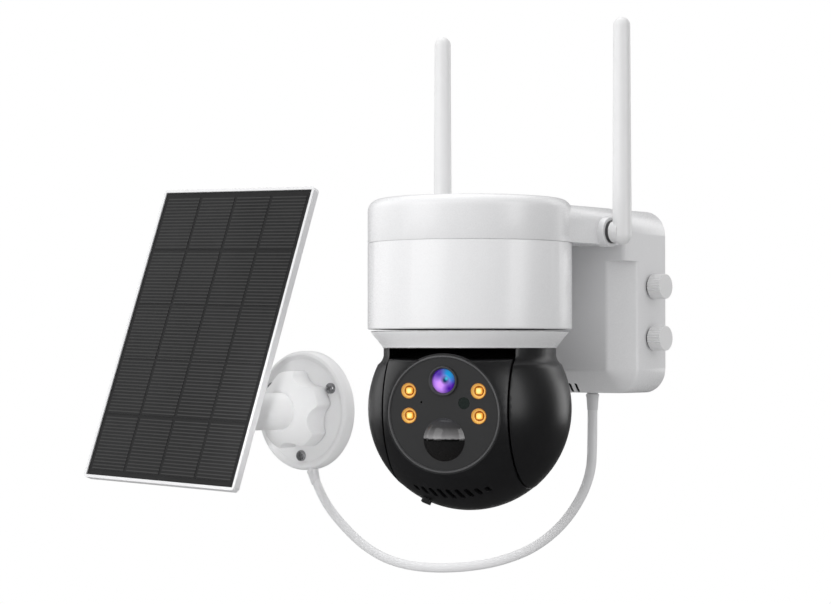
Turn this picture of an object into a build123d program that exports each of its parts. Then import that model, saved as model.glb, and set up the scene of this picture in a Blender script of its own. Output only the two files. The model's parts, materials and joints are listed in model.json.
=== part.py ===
from build123d import *

import os
from math import asin, cos, pi, radians, sin, sqrt, tan

# Solar-powered security camera: a pan-and-tilt camera on a wall box, and the solar panel that feeds it.
#
# The origin is the centre of the camera's four wall holes, in the wall's plane. X runs right, Z up and
# Y into the wall, so "height" below means distance from the wall, towards -Y. The camera and the panel
# stand on the same wall, and only the panel's screws go into it.

os.makedirs("parts", exist_ok=True)


def keep(builder, node):
    """Label a finished piece and write it to its own file."""
    builder.part.label = node
    export_step(builder.part, f"parts/{node}.step")


def on(frame, plane):
    """The same plane, given in a local frame instead of the world's."""
    return Plane(frame.location * plane.location)


# ---- driving dimensions, in millimetres ---------------------------------------------------------

WALL = 2.5  # moulded wall of the white housings
FIT = 0.05  # radial clearance of a shaft in its hole

# battery box
BOX_W, BOX_H, BOX_D = 110.0, 102.0, 40.0
BOX_CORNER = 14.0
BOX_CHAMFER = 12.5
BOX_SIDE_EDGE, BOX_FRONT_EDGE = 4.0, 3.0  # roundings along the chamfer's two borders
SHOULDER_Z = 22.0  # above this the box's front edge isn't chamfered, because the arm joins it
BRACKET_T = 2.0
WALL_HOLE_DX, WALL_HOLE_DZ, WALL_HOLE_R = 60.0, 50.0, 2.4

# drum, arm and antennas
DRUM_R = 55.0
DRUM_H = 108.0  # height of the drum's axis from the wall
CAP_TOP_Z, SEAM_Z, DRUM_BOTTOM_Z = 54.0, 30.5, -16.0
CAP_EDGE = 6.5
SEAM_GROOVE = 0.5
ARM_HALF, ARM_TOP_Z, ARM_EDGE = 51.0, 51.0, 8.0
ANTENNA_X, ANTENNA_H = 62.0, 53.5
ANTENNA_PIVOT_Z, ANTENNA_LOW_Z, ANTENNA_TIP_Z = 37.0, 30.0, 153.4
ANTENNA_R, ANTENNA_TIP_R = 5.2, 4.6
BOSS_R, BOSS_LENGTH, RING_R, RING_T, KNUCKLE_DISC_R = 8.0, 4.0, 6.2, 1.6, 5.9

# turning collar, yoke and head
COLLAR_GAP = 0.8
COLLAR_TOP_R, COLLAR_R, COLLAR_BOTTOM_Z = 53.2, 47.0, -26.0
BALL_Z = -58.4
YOKE_R, YOKE_T, YOKE_FACE_X, HOOD_EDGE = 54.8, 2.3, 35.0, 40.0
NECK_R, NECK_TOP, NECK_LOW, SHOULDER_LOW = 46.4, 32.38, 28.4, 23.6
HEAD_R, HEAD_HALF, HEAD_T = 54.6, 34.0, 2.2
HEAD_FLAT, HEAD_HUB_R, HEAD_END, HEAD_EDGE = 28.2, 32.4, 52.0, 3.0
PAN_REST, TILT_REST = 19.9, 2.6  # degrees: turned towards +X, and nodding down
FACE_H = 43.9  # distance of the face plate's front from the ball's centre
FACE_BACK = 41.5
FACE_LIP = 44.7  # where the ball is cut off round the face
FACE_R, RIM_R = 29.5, 30.7

# thumb screws that lock the box to its wall bracket
THUMB_H, THUMB_Z = 13.5, (8.2, -20.5)
THUMB_R, THUMB_LENGTH, THUMB_SHANK_R = 6.85, 8.1, 2.45
WASHER_T = 1.0
FLANGE_X = 47.2

# solar mount and panel
SOLAR_X, SOLAR_Z = -213.0, -65.3
BASE_R, BASE_RIM, BASE_FLOOR = 37.7, 9.0, 7.5
SCREW_CIRCLE_R, SCREW_HOLE_R, SCREW_R, SCREW_NECK_R, SCREW_LENGTH = 28.6, 2.1, 1.9, 1.6, 9.0
SCREW_ANGLE = 30.0
HUB_BOSS_R, HUB_BOSS_H = 15.5, 22.0
NUT_R, NUT_TOP, NUT_LOBES, NUT_FIRST_LOBE = 24.9, 28.0, 5, 23.0
ARM_R, ARM_ROLL = 11.5, 1.6
PIN_H, PIN_R = 100.6, 3.0
PANEL_TILT = 19.8
PANEL_W, PANEL_H, PANEL_RISE = 126.5, 189.0, 45.1
PANEL_FRONT, FRAME_T = 18.0, 4.6
FRAME_LIP = 1.8

# cord from the solar base to the battery box
CORD_R = 2.75
BASE_EXIT_ANGLE, BASE_EXIT_H, BASE_EXIT_R = -80.0, 4.8, 38.2
CORD_START_ANGLE = -68.7  # the cord leaves the base leaning a little towards the box
BOX_EXIT = (18.8, -19.4, -51.8)

# ---- frames -------------------------------------------------------------------------------------

BALL = (0, -DRUM_H, BALL_Z)
DRUM = Plane(origin=(0, -DRUM_H, 0))
PAN = Plane(Location(BALL, (0, 0, PAN_REST)))
HEAD = Plane(PAN.location * Location((0, 0, 0), (TILT_REST, 0, 0)))
SOLAR = Plane(origin=(SOLAR_X, 0, SOLAR_Z), x_dir=(1, 0, 0), z_dir=(0, -1, 0))
ARM = Plane(SOLAR.location * Location((0, 0, 0), (0, 0, -ARM_ROLL)))
PANEL = Plane(ARM.location * Location((0, 0, PIN_H), (-PANEL_TILT, 0, 0)))


def face_section(x, z, height=0.0):
    """Sketch plane through a face feature's axis: local x is radial, local y points out of the face."""
    return on(HEAD, Plane(origin=(x, -height, z), x_dir=(1, 0, 0), z_dir=(0, 0, -1)))


def dome(radius, base, top):
    """End, middle and apex of a spherical cap's outline, each as radius and height."""
    rise = top - base
    sphere_r = (radius**2 + rise**2) / (2 * rise)
    middle = asin(radius / sphere_r) / 2
    return (radius, base), (sphere_r * sin(middle), top - sphere_r * (1 - cos(middle))), (0, top)


def turned(plane, outline):
    """Revolve a closed outline, given as radius and height, about the section plane's y axis."""
    with BuildSketch(plane) as profile:
        with BuildLine():
            Polyline(*outline, close=True)
        make_face()
    revolve(profile.sketch, axis=Axis(plane.origin, plane.y_dir))


# ---- battery box and what it holds --------------------------------------------------------------


def rounded_block(width, height, corner, depth, front_chamfer, side_edge=0.0, front_edge=0.0):
    """Rounded block standing on the wall, its front rim chamfered and the chamfer's borders rounded."""
    with BuildPart() as block:
        with BuildSketch(Plane.XZ):
            RectangleRounded(width, height, corner)
        extrude(amount=depth)
        chamfer(block.faces().sort_by(Axis.Y)[0].edges(), front_chamfer)
        if side_edge:
            border = front_chamfer - depth
            fillet(block.edges().filter_by_position(Axis.Y, border - 0.1, border + 0.1), side_edge)
            fillet(block.faces().sort_by(Axis.Y)[0].edges(), front_edge)
    return block.part


BOX_CAVITY = rounded_block(
    BOX_W - 2 * WALL, BOX_H - 2 * WALL, BOX_CORNER - WALL, BOX_D - WALL, BOX_CHAMFER - WALL * (2 - sqrt(2))
)
VENT_PLANE = Plane(
    origin=(0, -(BOX_D - BOX_CHAMFER / 2), -(BOX_H - BOX_CHAMFER) / 2), x_dir=(1, 0, 0), z_dir=(0, -1, -1)
)
VENT_PITCH, VENT_COUNT, VENT_LENGTH, VENT_WIDTH, VENT_LEAN = 4.06, 8, 7.2, 1.9, 82.5
VENT_X, VENT_DROP, MESH_DROP, MESH_H = 1.6, 4.9, 4.2, 5.8

with BuildPart() as battery_box:
    add(rounded_block(BOX_W, BOX_H, BOX_CORNER, BOX_D, BOX_CHAMFER, BOX_SIDE_EDGE, BOX_FRONT_EDGE))
    with BuildSketch(Plane.XZ):
        RectangleRounded(BOX_W, BOX_H, BOX_CORNER)
        with Locations((0, SHOULDER_Z + BOX_H / 2)):
            Rectangle(BOX_W, BOX_H, mode=Mode.INTERSECT)
    extrude(amount=BOX_D)
    upright = battery_box.edges().filter_by(Axis.Z).filter_by_position(Axis.Y, -BOX_D - 0.1, -BOX_D + 0.1)
    fillet(upright.filter_by(lambda edge: abs(edge.center().X) > BOX_W / 2 - 0.1), 3.0)
    add(BOX_CAVITY, mode=Mode.SUBTRACT)
    with BuildSketch(Plane.YZ.offset(BOX_W / 2)):
        with Locations(*[(-THUMB_H, z) for z in THUMB_Z]):
            Circle(THUMB_SHANK_R + FIT)
    extrude(amount=-2 * WALL, mode=Mode.SUBTRACT)
    with BuildSketch(Plane.XY.offset(-BOX_H / 2)):
        with Locations(BOX_EXIT[:2]):
            Circle(4.0)
    extrude(amount=2 * WALL, mode=Mode.SUBTRACT)
    with BuildSketch(Plane.XZ.offset(BOX_D - 2 * WALL)):
        with Locations((0, 41)):
            SlotOverall(36, 8)
    extrude(amount=3 * WALL, mode=Mode.SUBTRACT)
    with BuildSketch(VENT_PLANE):
        with Locations((VENT_X, -VENT_DROP)):
            with GridLocations(VENT_PITCH, 0, VENT_COUNT, 1):
                SlotOverall(VENT_LENGTH, VENT_WIDTH, rotation=VENT_LEAN)
    extrude(amount=-2 * WALL, mode=Mode.SUBTRACT)
keep(battery_box, "battery_box")

with BuildPart() as vent_mesh:
    with BuildSketch(VENT_PLANE.offset(-WALL)):
        with Locations((VENT_X, -MESH_DROP)):
            Rectangle(VENT_PITCH * VENT_COUNT, MESH_H)
    extrude(amount=-0.6)
keep(vent_mesh, "vent_mesh")

with BuildPart() as wall_bracket:
    with BuildSketch(Plane.XZ):
        with Locations(((FLANGE_X + BRACKET_T - 44) / 2, 0)):
            RectangleRounded(FLANGE_X + BRACKET_T + 44, 78, 4)
        with GridLocations(WALL_HOLE_DX, WALL_HOLE_DZ, 2, 2):
            Circle(WALL_HOLE_R, mode=Mode.SUBTRACT)
        SlotOverall(34, 14, mode=Mode.SUBTRACT)
    extrude(amount=BRACKET_T)
    with BuildSketch(Plane.YZ.offset(FLANGE_X)):
        with Locations((-12, sum(THUMB_Z) / 2)):
            Rectangle(24, 50)
        with Locations(*[(-THUMB_H, z) for z in THUMB_Z]):
            Circle(THUMB_SHANK_R + FIT, mode=Mode.SUBTRACT)
    extrude(amount=BRACKET_T)
keep(wall_bracket, "wall_bracket")

PLATE_BACK, PLATE_T = 3.0, 2.0
with BuildPart() as back_plate:
    with BuildSketch(Plane.XZ.offset(PLATE_BACK)):
        RectangleRounded(BOX_W - 2 * WALL, BOX_H - 2 * WALL, BOX_CORNER - WALL)
        with GridLocations(WALL_HOLE_DX, WALL_HOLE_DZ, 2, 2):
            Circle(2.4 * WALL_HOLE_R, mode=Mode.SUBTRACT)
        with Locations((FLANGE_X + BRACKET_T / 2, sum(THUMB_Z) / 2)):
            Rectangle(BRACKET_T + 1, 51, mode=Mode.SUBTRACT)
    extrude(amount=PLATE_T)
keep(back_plate, "back_plate")

CELL_R, CELL_LENGTH = 9.2, 65.0
with BuildPart() as battery_cells:
    with BuildSketch(Plane.XY.offset(-CELL_LENGTH / 2)):
        with Locations(*[(x, -16.0) for x in (-30, -10.5, 9)]):
            Circle(CELL_R)
    extrude(amount=CELL_LENGTH)
    with BuildSketch(Plane.XY.offset(CELL_LENGTH / 2)):
        with Locations(*[(x, -16.0) for x in (-30, -10.5, 9)]):
            Circle(CELL_R / 3)
    extrude(amount=1.0)
keep(battery_cells, "battery_cells")

with BuildPart() as charge_board:
    with BuildSketch(Plane.XZ.offset(28)):
        RectangleRounded(58, 40, 1.5)
    extrude(amount=1.6)
    with BuildSketch(Plane.XZ.offset(29.6)):
        for x, z, size in ((-16, 8, 9), (4, 6, 6), (18, -8, 7), (-8, -10, 5)):
            with Locations((x, z)):
                Rectangle(size, size)
    extrude(amount=1.4)
keep(charge_board, "charge_board")

with BuildPart() as box_gland:
    with BuildSketch(Plane.XY.offset(BOX_EXIT[2])):
        with Locations(BOX_EXIT[:2]):
            Circle(3.98)
    extrude(amount=6)
    with BuildSketch(Plane.XY.offset(-BOX_H / 2 + WALL)):
        with Locations(BOX_EXIT[:2]):
            Circle(5.6)
    extrude(amount=2.7)
keep(box_gland, "box_gland")

for row, z in zip(("upper", "lower"), THUMB_Z):
    with BuildPart() as thumb_washer:
        with BuildSketch(Plane.YZ.offset(BOX_W / 2)):
            with Locations((-THUMB_H, z)):
                Circle(THUMB_R - 0.9)
                Circle(THUMB_SHANK_R + FIT, mode=Mode.SUBTRACT)
        extrude(amount=WASHER_T)
    keep(thumb_washer, f"thumb_washer_{row}")

    with BuildPart() as thumb_screw:
        with BuildSketch(Plane.YZ.offset(BOX_W / 2 + WASHER_T)):
            with Locations((-THUMB_H, z)):
                Circle(THUMB_R)
                with PolarLocations(THUMB_R + 0.25, 30):
                    Circle(0.55, mode=Mode.SUBTRACT)
        extrude(amount=THUMB_LENGTH)
        with BuildSketch(Plane.YZ.offset(FLANGE_X - 6)):
            with Locations((-THUMB_H, z)):
                Circle(THUMB_SHANK_R)
        extrude(amount=BOX_W / 2 + WASHER_T - FLANGE_X + 6)
    keep(thumb_screw, f"thumb_screw_{row}")

# ---- top cover with its arm, drum and drive -----------------------------------------------------


def arm_block(half_width, low_z, high_z, edge, near_h, far_h):
    """The arm's section, with rounded upper edges, between two heights from the wall."""
    with BuildPart() as block:
        with BuildSketch(Plane.XZ.offset(near_h)) as section:
            with Locations((0, (low_z + high_z) / 2)):
                Rectangle(2 * half_width, high_z - low_z)
            fillet(section.vertices().group_by(Axis.Y)[-1], edge)
        extrude(amount=far_h - near_h)
    return block.part


def drum_disc(radius, low_z, high_z, mode=Mode.ADD):
    """A disc on the drum's axis."""
    with BuildSketch(on(DRUM, Plane.XY.offset(low_z))) as disc:
        Circle(radius)
    extrude(disc.sketch, amount=high_z - low_z, mode=mode)


ARM_BLOCK = arm_block(ARM_HALF, SEAM_Z, ARM_TOP_Z, ARM_EDGE, BOX_D, DRUM_H)
ARM_CAVITY = arm_block(ARM_HALF - WALL, SEAM_Z + WALL, ARM_TOP_Z - WALL, ARM_EDGE - WALL, BOX_D, DRUM_H)
with BuildPart() as top_cover:
    drum_disc(DRUM_R, SEAM_Z, CAP_TOP_Z)
    fillet(top_cover.faces().sort_by(Axis.Z)[-1].edges(), CAP_EDGE)
    add(ARM_BLOCK)
    for side in (-1, 1):
        with BuildSketch(Plane.YZ.offset(side * (ARM_HALF - WALL))):
            with Locations((-ANTENNA_H, ANTENNA_PIVOT_Z)):
                Circle(BOSS_R)
        extrude(amount=side * (WALL + BOSS_LENGTH))
    drum_disc(DRUM_R - WALL, SEAM_Z, CAP_TOP_Z - WALL, mode=Mode.SUBTRACT)
    add(ARM_CAVITY, mode=Mode.SUBTRACT)
    with BuildSketch(Plane.YZ):
        with Locations((-ANTENNA_H, ANTENNA_PIVOT_Z)):
            Circle(2.0)
    extrude(amount=ANTENNA_X, both=True, mode=Mode.SUBTRACT)
keep(top_cover, "top_cover")

POST_R, POST_CIRCLE = 3.0, 46.5
BOARD_Z, BOARD_T = 12.0, 1.6
with BuildPart() as drum_body:
    drum_disc(DRUM_R, DRUM_BOTTOM_Z, SEAM_Z - SEAM_GROOVE)
    fillet(drum_body.faces().sort_by(Axis.Z)[0].edges(), 0.8)
    drum_disc(DRUM_R - SEAM_GROOVE, SEAM_Z - SEAM_GROOVE, SEAM_Z)
    drum_disc(DRUM_R - WALL, DRUM_BOTTOM_Z + WALL, SEAM_Z, mode=Mode.SUBTRACT)
    for lip_r, low_z, high_z in ((DRUM_R - WALL, SEAM_Z - 4, SEAM_Z), (DRUM_R - WALL - 0.1, SEAM_Z, SEAM_Z + 3)):
        with BuildSketch(on(DRUM, Plane.XY.offset(low_z))):
            Circle(lip_r)
            Circle(DRUM_R - 1.8 * WALL, mode=Mode.SUBTRACT)
        extrude(amount=high_z - low_z)
    with BuildSketch(on(DRUM, Plane.XY.offset(DRUM_BOTTOM_Z + WALL))):
        with PolarLocations(POST_CIRCLE, 3, start_angle=30):
            Circle(POST_R)
    extrude(amount=BOARD_Z - DRUM_BOTTOM_Z - WALL)
    drum_disc(6.0, DRUM_BOTTOM_Z, 0, mode=Mode.SUBTRACT)
keep(drum_body, "drum_body")

MOTOR_R, MOTOR_H, SHAFT_R = 14.0, 19.0, 2.45
with BuildPart() as pan_motor:
    with BuildSketch(on(DRUM, Plane.XY.offset(DRUM_BOTTOM_Z + WALL))):
        SlotOverall(42, 8)
    extrude(amount=1.2)
    drum_disc(MOTOR_R, DRUM_BOTTOM_Z + WALL, DRUM_BOTTOM_Z + WALL + MOTOR_H)
    drum_disc(SHAFT_R + FIT, DRUM_BOTTOM_Z, DRUM_BOTTOM_Z + WALL + 12, mode=Mode.SUBTRACT)
keep(pan_motor, "pan_motor")

with BuildPart() as main_board:
    drum_disc(49, BOARD_Z, BOARD_Z + BOARD_T)
    with BuildSketch(on(DRUM, Plane.XY.offset(BOARD_Z + BOARD_T))):
        for x, y, size in ((-14, 10, 16), (12, 14, 11), (16, -12, 9), (-18, -16, 8), (0, -28, 7)):
            with Locations((x, y)):
                Rectangle(size, size)
    extrude(amount=1.6)
keep(main_board, "main_board")

# ---- antennas -----------------------------------------------------------------------------------

AXLE_R = 1.95
with BuildPart() as antenna_axles:
    for side in (-1, 1):
        with BuildSketch(Plane.YZ.offset(side * (ARM_HALF - WALL))):
            with Locations((-ANTENNA_H, ANTENNA_PIVOT_Z)):
                Circle(AXLE_R)
        extrude(amount=side * (ANTENNA_X + 2 - ARM_HALF + WALL))
        with BuildSketch(Plane.YZ.offset(side * (ARM_HALF - WALL))):
            with Locations((-ANTENNA_H, ANTENNA_PIVOT_Z)):
                RegularPolygon(3.8, 6)
        extrude(amount=-side * 2.2)
keep(antenna_axles, "antenna_axles")

with BuildPart() as antenna_rings:
    for side in (-1, 1):
        with BuildSketch(Plane.YZ.offset(side * (ARM_HALF + BOSS_LENGTH))):
            with Locations((-ANTENNA_H, ANTENNA_PIVOT_Z)):
                Circle(RING_R)
                Circle(AXLE_R + FIT, mode=Mode.SUBTRACT)
        extrude(amount=side * RING_T)
keep(antenna_rings, "antenna_rings")


def rod(x, low_z, high_z, low_r, high_r):
    """Upright tapered rod with round ends, on an antenna's line."""
    plane = Plane(origin=(x, -ANTENNA_H, 0), x_dir=(1, 0, 0), z_dir=(0, -1, 0))
    with BuildSketch(plane) as profile:
        with BuildLine():
            low_arc = ((low_r * cos(pi / 4), low_z + low_r * (1 - sin(pi / 4))), (low_r, low_z + low_r))
            high_arc = ((high_r * cos(pi / 4), high_z - high_r * (1 - sin(pi / 4))), (0, high_z))
            ThreePointArc((0, low_z), *low_arc)
            Line((low_r, low_z + low_r), (high_r, high_z - high_r))
            ThreePointArc((high_r, high_z - high_r), *high_arc)
            Line((0, high_z), (0, low_z))
        make_face()
    revolve(profile.sketch, axis=Axis(plane.origin, plane.y_dir))


CORE_R, CORE_LOW_Z, CORE_HIGH_Z = 1.6, 52.0, 146.0
for side, name in ((-1, "left"), (1, "right")):
    with BuildPart() as core:
        rod(side * ANTENNA_X, CORE_LOW_Z, CORE_HIGH_Z, CORE_R, CORE_R)
    core_solid = core.part
    keep(core, f"antenna_core_{name}")

    with BuildPart() as antenna:
        rod(side * ANTENNA_X, ANTENNA_LOW_Z, ANTENNA_TIP_Z, ANTENNA_R, ANTENNA_TIP_R)
        with BuildSketch(Plane.YZ.offset(side * (ARM_HALF + BOSS_LENGTH + RING_T + 0.1))):
            with Locations((-ANTENNA_H, ANTENNA_PIVOT_Z)):
                Circle(KNUCKLE_DISC_R)
        extrude(amount=side * ANTENNA_R)
        with BuildSketch(Plane.YZ.offset(side * (ARM_HALF + BOSS_LENGTH))):
            with Locations((-ANTENNA_H, ANTENNA_PIVOT_Z)):
                Circle(AXLE_R + FIT)
        extrude(amount=side * (ANTENNA_X + 2.2 - ARM_HALF - BOSS_LENGTH), mode=Mode.SUBTRACT)
        add(core_solid, mode=Mode.SUBTRACT)
    keep(antenna, f"antenna_{name}")

# ---- turning collar and yoke --------------------------------------------------------------------

COLLAR_TOP_Z = DRUM_BOTTOM_Z - COLLAR_GAP
COLLAR_T, COLLAR_HUB = 2.0, 6.0
with BuildPart() as pan_collar:
    turned(
        on(DRUM, Plane(origin=(0, 0, 0), x_dir=(1, 0, 0), z_dir=(0, -1, 0))),
        (
            (SHAFT_R + 0.03, COLLAR_TOP_Z),
            (COLLAR_TOP_R, COLLAR_TOP_Z),
            (COLLAR_TOP_R, COLLAR_TOP_Z - 0.8),
            (COLLAR_R, COLLAR_BOTTOM_Z + 0.8),
            (COLLAR_R, COLLAR_BOTTOM_Z),
            (COLLAR_R - COLLAR_T, COLLAR_BOTTOM_Z),
            (COLLAR_R - COLLAR_T, COLLAR_BOTTOM_Z + 0.8),
            (COLLAR_TOP_R - 1.3 * COLLAR_T, COLLAR_TOP_Z - COLLAR_T),
            (7.0, COLLAR_TOP_Z - COLLAR_T),
            (7.0, COLLAR_TOP_Z - COLLAR_HUB),
            (SHAFT_R + 0.03, COLLAR_TOP_Z - COLLAR_HUB),
        ),
    )
keep(pan_collar, "pan_collar")

with BuildPart() as pan_shaft:
    drum_disc(SHAFT_R, COLLAR_TOP_Z - COLLAR_HUB, DRUM_BOTTOM_Z + WALL + 11.5)
keep(pan_shaft, "pan_shaft")


def yoke_skin():
    """Ball-shaped skin of the yoke, open at the top where its neck meets the collar."""
    inner_r, inner_neck = YOKE_R - YOKE_T, NECK_R - YOKE_T
    plane = on(PAN, Plane(origin=(0, 0, 0), x_dir=(0, -1, 0), z_dir=(-1, 0, 0)))
    with BuildPart() as skin:
        with BuildSketch(plane) as profile:
            with BuildLine():
                shoulder_r, inner_z = sqrt(YOKE_R**2 - SHOULDER_LOW**2), sqrt(inner_r**2 - inner_neck**2)
                Line((NECK_R, NECK_TOP), (NECK_R, NECK_LOW))
                hollow = ((NECK_R + shoulder_r) / 2 - 0.5, (NECK_LOW + SHOULDER_LOW) / 2 - 0.3)
                ThreePointArc((NECK_R, NECK_LOW), hollow, (shoulder_r, SHOULDER_LOW))
                ThreePointArc(
                    (shoulder_r, SHOULDER_LOW), (YOKE_R * cos(pi / 4), -YOKE_R * sin(pi / 4)), (0, -YOKE_R)
                )
                Line((0, -YOKE_R), (0, -inner_r))
                ThreePointArc(
                    (0, -inner_r), (inner_r * cos(pi / 4), -inner_r * sin(pi / 4)), (inner_neck, inner_z)
                )
                Polyline((inner_neck, inner_z), (inner_neck, NECK_TOP), (NECK_R, NECK_TOP))
            make_face()
        revolve(profile.sketch, axis=Axis(plane.origin, plane.y_dir))
        # the head's slot, from the neck round the front and the bottom; a hood stays behind the neck
        far = 2 * YOKE_R
        with BuildSketch(on(PAN, Plane.YZ)):
            with BuildLine():
                Polyline(
                    (0, 0), (0, far), (-far, far), (-far, -far), (far, -far), (far, far * tan(radians(HOOD_EDGE))),
                    close=True,
                )
            make_face()
        extrude(amount=YOKE_FACE_X, both=True, mode=Mode.SUBTRACT)
    return skin.part


YOKE_SKIN = yoke_skin()
for name, side in (("left", Keep.BOTTOM), ("right", Keep.TOP)):
    with BuildPart() as yoke_shell:
        add(YOKE_SKIN)
        split(bisect_by=on(PAN, Plane.YZ), keep=side)
    keep(yoke_shell, f"yoke_shell_{name}")

BRIDGE_Z, BRIDGE_T, CHEEK_T, CHEEK_R = 33.0, 2.2, 2.2, 37.0
PIVOT_R, JOURNAL_R = 2.5, 5.0
with BuildPart() as yoke_bracket:
    with BuildSketch(on(PAN, Plane.XY.offset(BRIDGE_Z))):
        Circle(43.0)
    extrude(amount=BRIDGE_T)
    with BuildSketch(on(PAN, Plane.XY.offset(BRIDGE_Z + BRIDGE_T))):
        with PolarLocations(32, 3, start_angle=90):
            Circle(3.0)
    extrude(amount=COLLAR_TOP_Z - COLLAR_T - BALL_Z - BRIDGE_Z - BRIDGE_T)
    for side in (-1, 1):
        with BuildSketch(on(PAN, Plane.YZ.offset(side * YOKE_FACE_X))):
            Circle(CHEEK_R)
            with Locations((0, BRIDGE_Z)):
                Rectangle(2 * CHEEK_R, 16, mode=Mode.SUBTRACT)
            with Locations((0, BRIDGE_Z - 4)):
                Rectangle(40, 10)
        extrude(amount=side * CHEEK_T)
    for side, radius in ((-1, JOURNAL_R + FIT), (1, 4.0)):
        with BuildSketch(on(PAN, Plane.YZ.offset(side * (YOKE_FACE_X - 1)))):
            Circle(radius)
        extrude(amount=side * 2 * CHEEK_T, mode=Mode.SUBTRACT)
keep(yoke_bracket, "yoke_bracket")

with BuildPart() as tilt_motor:
    with BuildSketch(on(PAN, Plane.YZ.offset(YOKE_FACE_X + CHEEK_T))):
        SlotOverall(30, 7)
        Circle(10.0)
    extrude(amount=1.2)
    with BuildSketch(on(PAN, Plane.YZ.offset(YOKE_FACE_X + CHEEK_T))):
        Circle(10.0)
    extrude(amount=12.0)
    with BuildSketch(on(PAN, Plane.YZ.offset(YOKE_FACE_X))):
        Circle(PIVOT_R + FIT)
    extrude(amount=CHEEK_T + 10.0, mode=Mode.SUBTRACT)
keep(tilt_motor, "tilt_motor")

# ---- head ---------------------------------------------------------------------------------------


def head_block(inset, edge=0.0):
    """The head's body, shrunk by an inset: a ball cut flat on top in front of a hub, and cut back to it behind."""
    outer, hub, flat = HEAD_R - inset, HEAD_HUB_R - inset, HEAD_FLAT - inset
    end, start = radians(HEAD_END + 1.3 * inset), pi - asin(flat / hub)
    front_top, hub_start = (-sqrt(outer**2 - flat**2), flat), (hub * cos(start), flat)
    hub_middle = (hub * cos((start - end) / 2), hub * sin((start - end) / 2))
    hub_end, outer_end = (hub * cos(end), -hub * sin(end)), (outer * cos(end), -outer * sin(end))
    with BuildPart() as block:
        with BuildSketch(on(HEAD, Plane.YZ)):
            with BuildLine():
                Line(front_top, hub_start)
                ThreePointArc(hub_start, hub_middle, hub_end)
                Line(hub_end, outer_end)
                ThreePointArc(outer_end, (-outer * cos(pi / 4), -outer * sin(pi / 4)), front_top)
            make_face()
        extrude(amount=HEAD_HALF - inset, both=True)
        with Locations(HEAD.location):
            Sphere(outer, mode=Mode.INTERSECT)
        if edge:
            facing_up = block.faces().filter_by(lambda face: face.normal_at().dot(HEAD.z_dir) > 0.99)
            rims = facing_up.sort_by(SortBy.AREA)[-1].edges()
            fillet(rims.sort_by(lambda rim: rim.center().dot(HEAD.y_dir))[0], edge)
    return block.part


SPEAKER_DIR = (0, -0.62, -0.785)
CARD_DIR = (-0.313, -0.408, -0.857)
SLOT_COUNT, SLOT_PITCH = 9, 4.9
SPEAKER = on(HEAD, Plane(origin=(0, 0, 0), x_dir=(1, 0, 0), z_dir=SPEAKER_DIR))
CARD = on(HEAD, Plane(origin=(0, 0, 0), x_dir=(1, 0, -0.365), z_dir=CARD_DIR))
LENS_Z, LENS_R = 17.3, 7.7
PIR_Z, PIR_R = -13.3, 11.3
LED_PLACES = [(x, z) for x in (-19.1, 19.1) for z in (12.1, -0.9)]
LED_R = 4.15
LIGHT_PLACE, LIGHT_R = (11.1, 5.8), 3.1
MIC_PLACE = (-12.2, 6.2)

HEAD_BODY = head_block(0, HEAD_EDGE)
HEAD_CAVITY = head_block(HEAD_T)
for name, side in (("front", Keep.TOP), ("rear", Keep.BOTTOM)):
    with BuildPart() as head_shell:
        add(HEAD_BODY)
        add(HEAD_CAVITY, mode=Mode.SUBTRACT)
        with BuildSketch(on(HEAD, Plane.XZ.offset(FACE_BACK - HEAD_T))):
            Circle(RIM_R + 0.9)
            Circle(FACE_R - 0.9, mode=Mode.SUBTRACT)
        extrude(amount=FACE_H - 0.5 - FACE_BACK + HEAD_T)
        with BuildSketch(on(HEAD, Plane.XZ.offset(FACE_LIP))):
            Rectangle(2 * HEAD_R, 2 * HEAD_R)
        extrude(amount=HEAD_R, mode=Mode.SUBTRACT)
        with BuildSketch(on(HEAD, Plane.XZ.offset(FACE_BACK))):
            Circle(RIM_R)
        extrude(amount=HEAD_R, mode=Mode.SUBTRACT)
        for bore_side, radius in ((-1, JOURNAL_R + 0.03), (1, PIVOT_R + 0.03)):
            with BuildSketch(on(HEAD, Plane.YZ.offset(bore_side * (HEAD_HALF - 2 * HEAD_T)))):
                Circle(radius)
            extrude(amount=bore_side * 4 * HEAD_T, mode=Mode.SUBTRACT)
        if name == "front":
            with BuildSketch(SPEAKER.offset(HEAD_R - 3 * HEAD_T)):
                for index in range(SLOT_COUNT):
                    step = index - (SLOT_COUNT - 1) / 2
                    with Locations((step * SLOT_PITCH, 0)):
                        SlotOverall(9.6 - 0.3 * step**2, 2.5, rotation=108)
            extrude(amount=6 * HEAD_T, mode=Mode.SUBTRACT)
            with BuildSketch(CARD.offset(HEAD_R - 3 * HEAD_T)):
                Rectangle(4.0, 1.4)
            extrude(amount=6 * HEAD_T, mode=Mode.SUBTRACT)
        split(bisect_by=on(HEAD, Plane.XZ), keep=side)
    keep(head_shell, f"head_{name}_shell")

with BuildPart() as face_rim:
    turned(
        face_section(0, 0),
        (
            (FACE_R + 0.02, FACE_BACK),
            (RIM_R - 0.02, FACE_BACK),
            (RIM_R - 0.02, FACE_LIP - 0.2),
            (RIM_R - 0.3, FACE_LIP + 0.1),
            (FACE_R + 0.4, FACE_LIP + 0.1),
            (FACE_R + 0.02, FACE_H + 0.2),
        ),
    )
keep(face_rim, "face_rim")

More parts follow.
